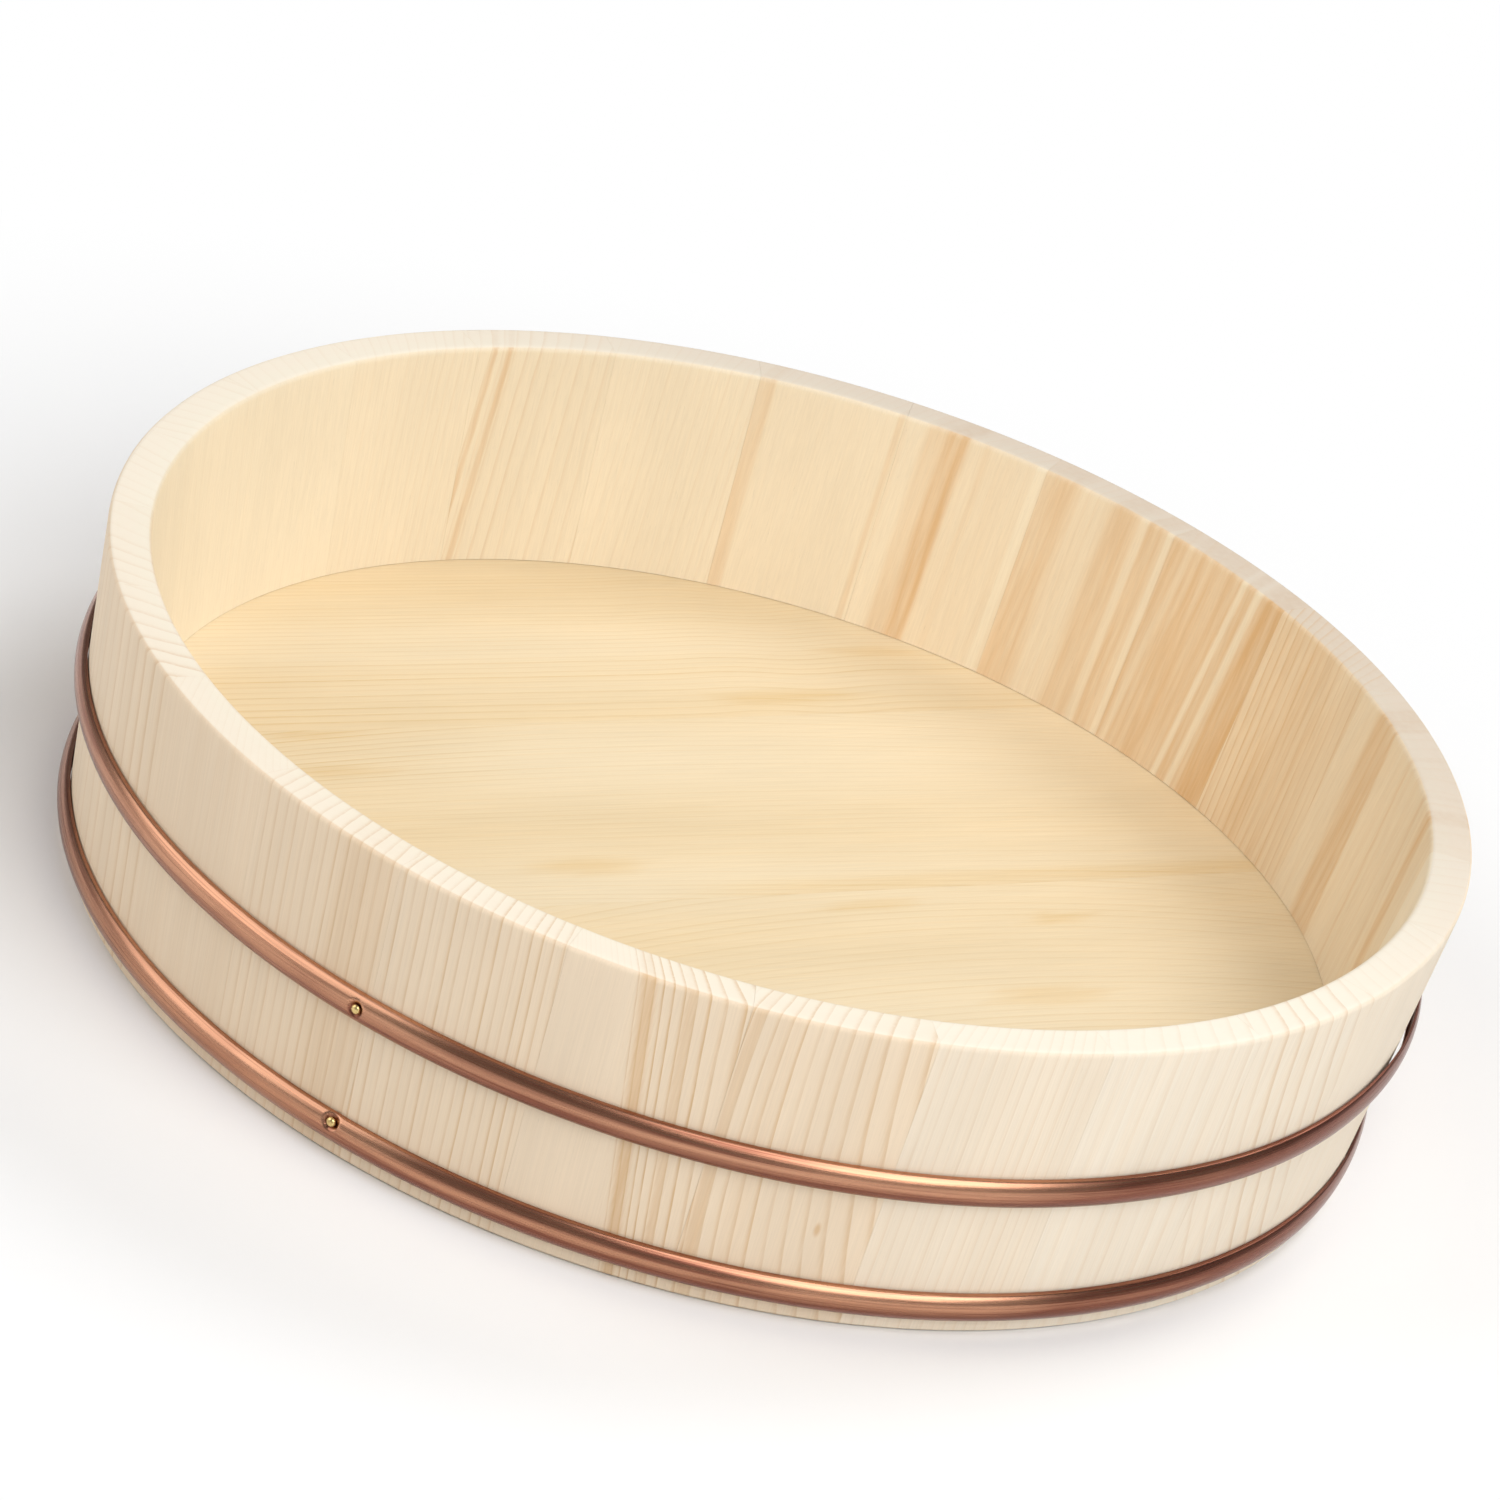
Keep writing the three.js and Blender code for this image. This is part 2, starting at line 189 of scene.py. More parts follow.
class HoopSizes(bpy.types.PropertyGroup):
    """Sizes of the hoops, nails and pins"""

    width: length("Width", "Width of a hoop", 0.0072)
    rise: length("Rise", "How far a hoop stands out", 0.0028)
    metal: length("Metal", "Thickness of the copper", 0.0008)
    fit: length("Fit", "Clearance between copper and wood", 0.0002)
    upper_height: length("Upper height", "Middle of the upper hoop above the table", 0.0404)
    lower_height: length("Lower height", "Middle of the lower hoop above the table", 0.008)
    nail_angle: angle("Nail angle", "Where the nails stand round the tub", 244.6)
    lower_nail_lift: length("Lower nail lift", "Height of the lower nail above its hoop's middle", 0.0018)
    nail_head: length("Nail head", "Radius of a nail's head", 0.0012)
    nail_rise: length("Nail rise", "Height of a nail's domed head", 0.0009)
    nail_shank: length("Nail shank", "Radius of a nail's shank", 0.00065)
    nail_bite: length("Nail bite", "How far a nail reaches into the wood", 0.006)
    nail_point: length("Nail point", "Length of a nail's point", 0.002)
    dent_depth: length("Dent depth", "Depth of the dent round a nail", 0.001)
    dent_reach: length("Dent reach", "Radius of the dent round a nail", 0.0024)
    crease_depth: length("Crease depth", "Depth of the crease beside the lower dent", 0.00025)
    slack: length("Slack", "How far the upper hoop stands off on the right", 0.0008)
    flattening: length("Flattening", "How much flatter the hoops lie on the right", 0.0012)


class TubColours(bpy.types.PropertyGroup):
    """Colours of the woods and metals"""

    pale_wood: colour("Pale wood", "Early wood of the staves", (0.885, 0.735, 0.555))
    ring_wood: colour("Ring wood", "Late wood of the staves", (0.66, 0.42, 0.205))
    warm_wood: colour("Warm wood", "Warm stripes of the staves", (0.70, 0.45, 0.225))
    inner_wood: colour("Inner wood", "Early wood on the inside of the staves", (0.87, 0.76, 0.57))
    end_wood: colour("End wood", "Sawn ends of the staves", (0.91, 0.845, 0.725))
    # Painted shade: the sawn ends on the far side take this darker colour
    painted_shade_end: colour("Grey end", "Sawn ends of the staves on the far side", (0.66, 0.59, 0.51))
    floor_pale: colour("Floor pale", "Early wood of the bottom boards", (0.85, 0.71, 0.49))
    floor_ring: colour("Floor ring", "Late wood of the bottom boards", (0.71, 0.50, 0.22))
    floor_warm: colour("Floor warm", "Warm stripes of the bottom boards", (0.75, 0.52, 0.23))
    copper: colour("Copper", "Copper of the hoops", (0.60, 0.31, 0.19))
    # Also paints the shade and dark reflections on the hoops; on the nails it is the colour of the spots
    tarnish_and_shade: colour("Tarnish", "Darker streaks of the copper", (0.23, 0.085, 0.055))
    brass: colour("Brass", "Brass of the nails", (0.74, 0.56, 0.24))
    bamboo: colour("Bamboo", "Bamboo of the hidden pins", (0.68, 0.55, 0.27))
    ground: colour("Ground", "The floor under the tub, as it lights the tub", (0.72, 0.72, 0.72))
    ground_seen: colour("Ground seen", "The floor under the tub, as the camera sees it", (0.92, 0.92, 0.92))


def wall_lean(sizes):
    return math.atan2(sizes.rim_radius - sizes.base_radius, sizes.height)


def outer_radius(sizes, height):
    return sizes.base_radius + (sizes.rim_radius - sizes.base_radius) * height / sizes.height


def inner_radius(sizes, height):
    at_floor = outer_radius(sizes, sizes.floor_height) - sizes.floor_wall
    at_rim = sizes.rim_radius - sizes.rim_wall
    share = (height - sizes.floor_height) / (sizes.height - sizes.floor_height)
    return at_floor + (at_rim - at_floor) * share


def groove_radius(sizes):
    return inner_radius(sizes, sizes.floor_height) + sizes.groove_depth


# Points between two ends, without the first
def straight(start, end, steps):
    return [start.lerp(end, step / steps) for step in range(1, steps + 1)]


# Points on a rounded corner between two ends, without the first
def rounded(start, corner, end, steps):
    points = []
    for step in range(1, steps + 1):
        share = step / steps
        points.append(start.lerp(corner, share).lerp(corner.lerp(end, share), share))
    return points


# Outline of the wall as (radius, height): up the outside, over the rim, down the inside
def wall_outline(sizes):
    def outside(height):
        return Vector((outer_radius(sizes, height), height))

    def inside(height):
        return Vector((inner_radius(sizes, height), height))

    groove_top = sizes.floor_height + sizes.groove_fit
    groove_low = sizes.floor_height - sizes.board_thickness - sizes.groove_fit
    shoulder = sizes.height - sizes.rim_rounding
    rim_outer = Vector((sizes.rim_radius, sizes.height))
    rim_inner = inside(sizes.height)
    inward = Vector((sizes.rim_rounding, 0))
    points = [outside(0) - Vector((sizes.base_chamfer, 0))]
    points += straight(points[-1], outside(sizes.base_chamfer), 1)
    points += straight(points[-1], outside(shoulder), 20)
    points += rounded(points[-1], rim_outer, rim_outer - inward, 6)
    points += straight(points[-1], rim_inner + inward, 6)
    points += rounded(points[-1], rim_inner, inside(shoulder), 6)
    points += straight(points[-1], inside(groove_top), 16)
    points += straight(points[-1], Vector((groove_radius(sizes), groove_top)), 1)
    points += straight(points[-1], Vector((groove_radius(sizes), groove_low)), 1)
    points += straight(points[-1], inside(groove_low), 1)
    points += straight(points[-1], inside(0), 1)
    return points


# A closed loop of edges at an angle round the axis, from (radius, height) points
def loop_at(mesh, outline, turn):
    verts = [mesh.verts.new((p.x * math.cos(turn), p.x * math.sin(turn), p.y)) for p in outline]
    edges = [mesh.edges.new((verts[i - 1], verts[i])) for i in range(len(verts))]
    return verts, edges


def smooth_but_corners(mesh, corner=math.radians(32)):
    for face in mesh.faces:
        face.smooth = True
    for edge in mesh.edges:
        if len(edge.link_faces) == 2:
            edge.smooth = edge.calc_face_angle(0) < corner


# A new object from a bmesh, with one material
def piece(name, mesh, material):
    bmesh.ops.recalc_face_normals(mesh, faces=mesh.faces)
    smooth_but_corners(mesh)
    data = bpy.data.meshes.new(name)
    mesh.to_mesh(data)
    mesh.free()
    data.materials.append(material)
    made = bpy.data.objects.new(name, data)
    bpy.context.scene.collection.objects.link(made)
    return made


# Cuts closed meshes out of a piece and keeps the result as its mesh
def cut_out(target, cutters):
    for cutter in cutters:
        cut = target.modifiers.new("cut", "BOOLEAN")
        cut.operation = "DIFFERENCE"
        cut.solver = "EXACT"
        cut.object = cutter
    bpy.context.view_layer.update()
    whole = target.evaluated_get(bpy.context.evaluated_depsgraph_get())
    data = bpy.data.meshes.new_from_object(whole)
    target.modifiers.clear()
    old = target.data
    target.data = data
    data.name = old.name
    bpy.data.meshes.remove(old)
    for cutter in cutters:
        bpy.data.meshes.remove(cutter.data)


def rod(name, radius, depth, place):
    mesh = bmesh.new()
    bmesh.ops.create_cone(mesh, cap_ends=True, segments=24, radius1=radius, radius2=radius, depth=depth)
    bmesh.ops.transform(mesh, matrix=place, verts=mesh.verts)
    return piece(name, mesh, None)


def settle(made, node):
    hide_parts(node)
    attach(made, BODY)


def set_vectors(data, name, values):
    layer = data.attributes.new(name, "FLOAT_VECTOR", "POINT")
    layer.data.foreach_set("vector", [number for value in values for number in value])


def blend(pair, share):
    return pair[0] + (pair[1] - pair[0]) * min(max(share, 0), 1)


def soft_step(low, high, value):
    share = min(max((value - low) / (high - low), 0), 1)
    return share * share * (3 - 2 * share)


# Number of yearly rings from a stave's first edge to an angle, where their spacing grows evenly
def ring_number(figure, turned):
    first, last = figure.rings
    growth = math.log(last / first) / STAVE_ANGLE
    if abs(growth) < 1e-4:
        return turned / first
    return (1 - math.exp(-growth * turned)) / (growth * first)


# Rings, contrast and warmth of the wood at a point of a stave, and the point's place along the fibres
def stave_grain(sizes, number, point):
    figure = STAVE_FIGURES[number]
    first = math.degrees(sizes.first_joint) + (number - 1) * STAVE_ANGLE
    around = math.degrees(math.atan2(point.y, point.x)) - first
    turned = (around + 90) % 360 - 90
    radius = math.hypot(point.x, point.y)
    surface = inner_radius if number in SEEN_FROM_INSIDE else outer_radius
    into = (surface(sizes, point.z) - radius) / MILLIMETRE
    up = point.z / sizes.height
    per_degree = math.radians(radius) / MILLIMETRE
    lean = blend(figure.lean, turned / STAVE_ANGLE)
    moved = turned + figure.turn * into / per_degree - lean * (up - 0.5) - figure.bend * (up - 0.5) ** 2
    rings = ring_number(figure, moved) + 100 * number
    share = (moved - figure.begin) / (STAVE_ANGLE - figure.begin)
    contrast = blend(figure.contrast, share) * soft_step(figure.begin - 0.35, figure.begin, moved + 0.35)
    warmth = figure.tone
    for centre, half_width, strength in figure.bands:
        warmth += strength * soft_step(1.25, 0.55, abs(moved - centre) / half_width)
    depth = (outer_radius(sizes, point.z) - radius) / MILLIMETRE
    place = (turned * per_degree + 90 * number, depth, point.z / MILLIMETRE + 31 * number)
    return (rings, contrast, warmth), place


def grain_stave(made, sizes, number):
    grain = []
    places = []
    for vert in made.data.vertices:
        rings, place = stave_grain(sizes, number, vert.co)
        grain.append(rings)
        places.append(place)
    set_vectors(made.data, "grain", grain)
    set_vectors(made.data, "place", places)


# Where a nail's shank leaves the wall: its own frame has +Z pointing out of the wood
def nail_frame(sizes, hoops, height):
    lean = wall_lean(sizes)
    turn = hoops.nail_angle
    out = Vector((math.cos(lean) * math.cos(turn), math.cos(lean) * math.sin(turn), -math.sin(lean)))
    radius = outer_radius(sizes, height)
    spot = Vector((radius * math.cos(turn), radius * math.sin(turn), height))
    return Matrix.Translation(spot) @ out.to_track_quat("Z", "Y").to_matrix().to_4x4()


def nail_heights(hoops):
    return {"upper": hoops.upper_height, "lower": hoops.lower_height + hoops.lower_nail_lift}


def nail_seat(hoops):
    return hoops.fit + hoops.rise - hoops.dent_depth + HEAD_ROOM


# Nodes of the materials
class Tree:
    """Builds a material's nodes, with the sockets of earlier nodes as inputs of later ones"""

    def __init__(self, name):
        self.material = bpy.data.materials.new(name)
        self.material.use_nodes = True
        self.nodes = self.material.node_tree.nodes
        self.links = self.material.node_tree.links
        self.shader = self.nodes["Principled BSDF"]

    def feed(self, socket, value):
        if isinstance(value, bpy.types.NodeSocket):
            self.links.new(value, socket)
        else:
            socket.default_value = value

    def add(self, kind, inputs=None, output=0, **settings):
        made = self.nodes.new(kind)
        for name, value in settings.items():
            setattr(made, name, value)
        for name, value in (inputs or {}).items():
            self.feed(made.inputs[name], value)
        return made.outputs[output]

    def maths(self, operation, first, second=0.0, clamp=False):
        return self.add("ShaderNodeMath", {0: first, 1: second}, operation=operation, use_clamp=clamp)

    def ramp(self, value, low, high, to_low=0.0, to_high=1.0):
        inputs = {"Value": value, "From Min": low, "From Max": high, "To Min": to_low, "To Max": to_high}
        return self.add("ShaderNodeMapRange", inputs, interpolation_type="SMOOTHSTEP")

    def mix(self, share, first, second, blend_type="MIX"):
        made = self.nodes.new("ShaderNodeMix")
        made.data_type = "RGBA"
        made.blend_type = blend_type
        colours = [s for s in made.inputs if s.type == "RGBA"]
        self.feed(made.inputs["Factor"], share)
        self.feed(colours[0], first)
        self.feed(colours[1], second)
        return [s for s in made.outputs if s.type == "RGBA"][0]

    def attribute(self, name):
        return self.add("ShaderNodeAttribute", attribute_name=name, output="Vector")

    def scaled(self, vector, scale):
        return self.add("ShaderNodeVectorMath", {0: vector, 1: scale}, operation="MULTIPLY")

    def noise(self, vector, scale, detail=2.0, roughness=0.5):
        inputs = {
            "Vector": self.scaled(vector, scale),
            "Scale": 1.0,
            "Detail": detail,
            "Roughness": roughness,
        }
        return self.add("ShaderNodeTexNoise", inputs)

    def grey(self, value):
        return self.add("ShaderNodeCombineColor", {"Red": value, "Green": value, "Blue": value})

    def set(self, **values):
        for name, value in values.items():
            self.feed(self.shader.inputs[name.replace("_", " ").title()], value)


def opaque(shade):
    return (*shade, 1.0)


# Bare softwood: yearly rings with a slow rise to late wood and a sharp end, fibres, pores and warm stripes
def softwood(name, pale, ring, warm, stave=None, flecks=()):
    tree = Tree(name)
    grain = tree.add("ShaderNodeSeparateXYZ", {"Vector": tree.attribute("grain")}).node
    rings, contrast, warmth = grain.outputs
    place = tree.attribute("place")

    sway = tree.noise(place, (0.05, 0.05, 0.010), 3.0)
    ripple = tree.noise(place, (0.35, 0.35, 0.045), 1.0)
    moved = tree.maths("ADD", rings, tree.maths("MULTIPLY", tree.maths("SUBTRACT", sway, 0.5), 0.5))
    moved = tree.maths("ADD", moved, tree.maths("MULTIPLY", tree.maths("SUBTRACT", ripple, 0.5), 0.08))
    part = tree.maths("FRACT", moved)
    year = tree.add("ShaderNodeTexWhiteNoise", {"W": tree.maths("FLOOR", moved)}, noise_dimensions="1D")
    strength = tree.ramp(year, 0.0, 1.0, 0.45, 1.0)
    line = tree.maths("POWER", tree.ramp(part, 0.45, 0.95), 2.6)
    rise = tree.maths("ADD", tree.maths("MULTIPLY", line, 0.85), tree.maths("MULTIPLY", part, 0.15))
    late = tree.maths("MULTIPLY", rise, tree.ramp(part, 0.95, 1.0, 1.0, 0.0))
    broken = tree.noise(place, (1.2, 1.2, 0.12), 2.0)
    strength = tree.maths("MULTIPLY", strength, tree.ramp(broken, 0.2, 0.6, 0.55, 1.0))
    late = tree.maths("MULTIPLY", late, strength)
    dark = tree.maths("MULTIPLY", late, contrast)

    fibres = tree.noise(place, (2.6, 2.6, 0.035), 3.0, 0.65)
    patchy = tree.noise(place, (0.5, 0.5, 0.02), 3.0)
    warm_share = tree.maths("MULTIPLY", warmth, tree.ramp(patchy, 0.25, 0.75, 0.7, 1.2))
    plain = opaque(pale)
    if stave:
        depth = tree.add("ShaderNodeSeparateXYZ", {"Vector": place}).node.outputs[1]
        plain = tree.mix(tree.ramp(depth, 4, 8), opaque(pale), opaque(stave.inner_wood))
    tinted = tree.mix(tree.maths("MULTIPLY", warm_share, 1.0, clamp=True), plain, opaque(warm))
    if stave:
        paler = tree.maths("MULTIPLY", warm_share, -1.0, clamp=True)
        tinted = tree.mix(paler, tinted, opaque(stave.end_wood))
    ringed = tree.mix(tree.maths("MULTIPLY", dark, 0.9, clamp=True), tinted, opaque(ring))

    for fleck in flecks:
        nearer = tree.add("ShaderNodeVectorMath", {0: place, 1: fleck}, operation="SUBTRACT")
        nearer = tree.scaled(nearer, (1.1, 0, 0.45))
        far = tree.add("ShaderNodeVectorMath", {0: nearer}, operation="LENGTH", output="Value")
        ringed = tree.mix(tree.ramp(far, 0.3, 1.2, 0.7, 0.0), ringed, opaque(warm))
    clouds = tree.noise(place, (0.06, 0.06, 0.012), 2.0)
    pores = tree.noise(place, (5.5, 5.5, 0.30), 2.0, 0.6)
    specks = tree.ramp(pores, 0.62, 0.78, 1.0, 0.90)
    light = tree.ramp(fibres, 0.2, 0.8, 0.955, 1.03)
    light = tree.maths("ADD", light, tree.ramp(clouds, 0.25, 0.75, -0.03, 0.025))
    light = tree.maths("MULTIPLY", light, specks)
    shaded = tree.mix(1.0, ringed, tree.grey(light), "MULTIPLY")
    tree.shader.inputs["Specular IOR Level"].default_value = 0.3
    if stave:
        normal = tree.add("ShaderNodeNewGeometry", output="Normal")
        upright = tree.add("ShaderNodeSeparateXYZ", {"Vector": normal}).node.outputs[2]
        ends = tree.ramp(tree.maths("ABSOLUTE", upright), 0.75, 0.95)
        spot = tree.add("ShaderNodeTexCoord", output="Object")
        # Painted shade: the sawn ends grow darker towards the far side of the tub
        sides = {0: spot, 1: PAINTED_SHADE_SIDE}
        away = tree.add("ShaderNodeVectorMath", sides, operation="DOT_PRODUCT", output="Value")
        sawn = tree.mix(tree.ramp(away, 0.0, 0.15), opaque(stave.end_wood), opaque(stave.painted_shade_end))
        cut = tree.mix(0.30, sawn, tinted)
        crossing = tree.maths("MULTIPLY", late, tree.maths("MAXIMUM", contrast, 0.16))
        crossed = tree.mix(tree.maths("MULTIPLY", crossing, 0.7, clamp=True), cut, opaque(ring))
        shaded = tree.mix(ends, shaded, crossed)
        tree.feed(tree.shader.inputs["Specular IOR Level"], tree.ramp(ends, 0.0, 1.0, 0.3, 0.1))
    tree.set(base_color=shaded)

    tree.set(roughness=tree.ramp(fibres, 0.2, 0.8, 0.62, 0.52))
    height = tree.maths("ADD", tree.maths("MULTIPLY", dark, -0.5), tree.maths("MULTIPLY", fibres, 0.5))
    bump = {"Height": height, "Strength": 0.25, "Distance": 0.00012}
    tree.set(normal=tree.add("ShaderNodeBump", bump))
    return tree.material


# Drawn copper with a satin sheen, streaked along the hoop and darker on a stretch at the left; painted shade
# gives dark reflections on its lower side, top edge at the front and right-hand stretch, and round its nail
def drawn_copper(colours, nails):
    tree = Tree("drawn copper")
    run = tree.attribute("run")
    streaks = tree.noise(run, (0.02, 2.4, 2.4), 4.0, 0.65)
    clouds = tree.noise(run, (0.03, 0.25, 0.25), 3.0)
    darkening = tree.maths("MULTIPLY", tree.ramp(streaks, 0.42, 0.75), 0.55)
    darkening = tree.maths("ADD", darkening, tree.ramp(clouds, 0.45, 0.75, 0.0, 0.25))
    around, across, _ = tree.add("ShaderNodeSeparateXYZ", {"Vector": run}).node.outputs
    # Painted shade: a painted dark reflection of the shadowed floor on the lower side, stronger from about
    # 240 degrees on
    lower = tree.maths("MULTIPLY", tree.ramp(across, 1.0, -2.0), tree.ramp(around, 670, 720, 0.5, 0.85))
    # Painted dark reflection along the top edge at the front, from about 248 to 286 degrees
    band = tree.maths("MULTIPLY", tree.ramp(around, 694, 712), tree.ramp(around, 772, 802, 0.5, 0.0))
    upper = tree.maths("MULTIPLY", tree.ramp(across, 0.2, 1.3), band)
    # A darker stretch all across the hoop at the left, from about 168 to 225 degrees
    left = tree.maths("MULTIPLY", tree.ramp(around, 470, 520), tree.ramp(around, 545, 630, 0.6, 0.0))
    # Painted dark reflection on the right-hand stretch, from about 300 degrees round past 0 to about 57
    # degrees
    side = tree.maths("ADD", tree.ramp(around, 836, 868, 0.0, 0.75), tree.ramp(around, 880, 950, 0.0, 0.2))
    side = tree.maths("ADD", tree.maths("ADD", side, left), tree.ramp(around, 60, 160, 0.95, 0.0))
    darkening = tree.maths("ADD", darkening, tree.maths("ADD", lower, tree.maths("ADD", upper, side)))
    spot = tree.add("ShaderNodeTexCoord", output="Object")
    # Painted shadow in the dent round each nail
    for nail in nails:
        apart = tree.add("ShaderNodeVectorMath", {0: spot, 1: nail}, operation="DISTANCE", output="Value")
        darkening = tree.maths("ADD", darkening, tree.ramp(apart, 0.0014, 0.0024, 0.7, 0.0))
    darkening = tree.maths("MULTIPLY", darkening, 1.0, clamp=True)
    tree.set(base_color=tree.mix(darkening, opaque(colours.copper), opaque(colours.tarnish_and_shade)))
    tree.shader.inputs["Metallic"].default_value = 1.0
    tree.set(roughness=tree.ramp(streaks, 0.3, 0.8, 0.22, 0.36))
    tree.set(normal=tree.add("ShaderNodeBump", {"Height": streaks, "Strength": 0.25, "Distance": 0.0001}))
    return tree.material


def bright_brass(colours):
    tree = Tree("bright brass")
    spots = tree.noise(tree.add("ShaderNodeTexCoord", output="Object"), (900, 900, 900), 2.0)
    darkening = tree.ramp(spots, 0.4, 0.8, 0.0, 0.4)
    tree.set(base_color=tree.mix(darkening, opaque(colours.brass), opaque(colours.tarnish_and_shade)))
    tree.shader.inputs["Metallic"].default_value = 1.0
    tree.shader.inputs["Roughness"].default_value = 0.28
    return tree.material


def split_bamboo(colours):
    tree = Tree("split bamboo")
    fibres = tree.noise(tree.add("ShaderNodeTexCoord", output="Object"), (700, 700, 700), 2.0)
    dark = tree.ramp(fibres, 0.3, 0.7)
    tree.set(base_color=tree.mix(dark, opaque(colours.bamboo), opaque(colours.floor_ring)))
    tree.shader.inputs["Roughness"].default_value = 0.5
    return tree.material


# White ground that takes the tub's shadow and is seen as plain white further off
def ground_paint(colours):
    tree = Tree("ground paint")
    tree.shader.inputs["Roughness"].default_value = 0.9
    tree.shader.inputs["Specular IOR Level"].default_value = 0.0
    rays = tree.add("ShaderNodeLightPath").node
    seen = tree.maths("MAXIMUM", rays.outputs["Is Camera Ray"], rays.outputs["Is Glossy Ray"])
    seen = tree.maths("MAXIMUM", seen, rays.outputs["Is Transmission Ray"])
    tree.set(base_color=tree.mix(seen, opaque(colours.ground), opaque(colours.ground_seen)))
    spot = tree.add("ShaderNodeTexCoord", output="Object")
    away = tree.add("ShaderNodeVectorMath", {0: spot}, operation="LENGTH", output="Value")
    plain = tree.maths("MULTIPLY", tree.ramp(away, 0.22, 0.38), seen)
    white = tree.add("ShaderNodeEmission", {"Color": (1, 1, 1, 1), "Strength": 1.0})
    mixed = tree.add("ShaderNodeMixShader", {0: plain, 1: tree.shader.outputs[0], 2: white})
    tree.links.new(mixed, tree.nodes["Material Output"].inputs["Surface"])
    return tree.material


class TubMakeStaves(bpy.types.Operator):
    """Make the staves of the wall, each with its own grain"""

    bl_idname = "tub.make_staves"
    bl_label = "Make staves"

    def execute(self, context):
        sizes = context.scene.tub_sizes
        hoops = context.scene.tub_hoops
        colours = context.scene.tub_colours
        wood = softwood("bare spruce", colours.pale_wood, colours.ring_wood, colours.warm_wood, colours,
                        STAVE_FLECKS)
        outline = wall_outline(sizes)
        step = math.radians(STAVE_ANGLE)
        gap = sizes.stave_gap / sizes.rim_radius
        nail_turn = (hoops.nail_angle - sizes.first_joint) / step
        for number in range(1, STAVE_COUNT + 1):
            mesh = bmesh.new()
            start = sizes.first_joint + (number - 1) * step + gap / 2
            verts, edges = loop_at(mesh, outline, start)
            face = mesh.faces.new(verts)
            bmesh.ops.spin(mesh, geom=[*verts, *edges, face], cent=(0, 0, 0), axis=(0, 0, 1), dvec=(0, 0, 0),
                           angle=step - gap, steps=STAVE_STEPS)
            made = piece(f"spruce_stave_{number:02d}", mesh, wood)
            if math.ceil(nail_turn) == number:
                self.drill(made, sizes, hoops)
            grain_stave(made, sizes, number)
            settle(made, f"stave_{number:02d}")
        return {"FINISHED"}

    def drill(self, made, sizes, hoops):
        depth = 2 * hoops.nail_bite + POINT_ROOM
        radius = hoops.nail_shank + SHANK_ROOM
        rods = []
        for height in nail_heights(hoops).values():
            rods.append(rod("nail_hole", radius, depth, nail_frame(sizes, hoops, height)))
        cut_out(made, rods)


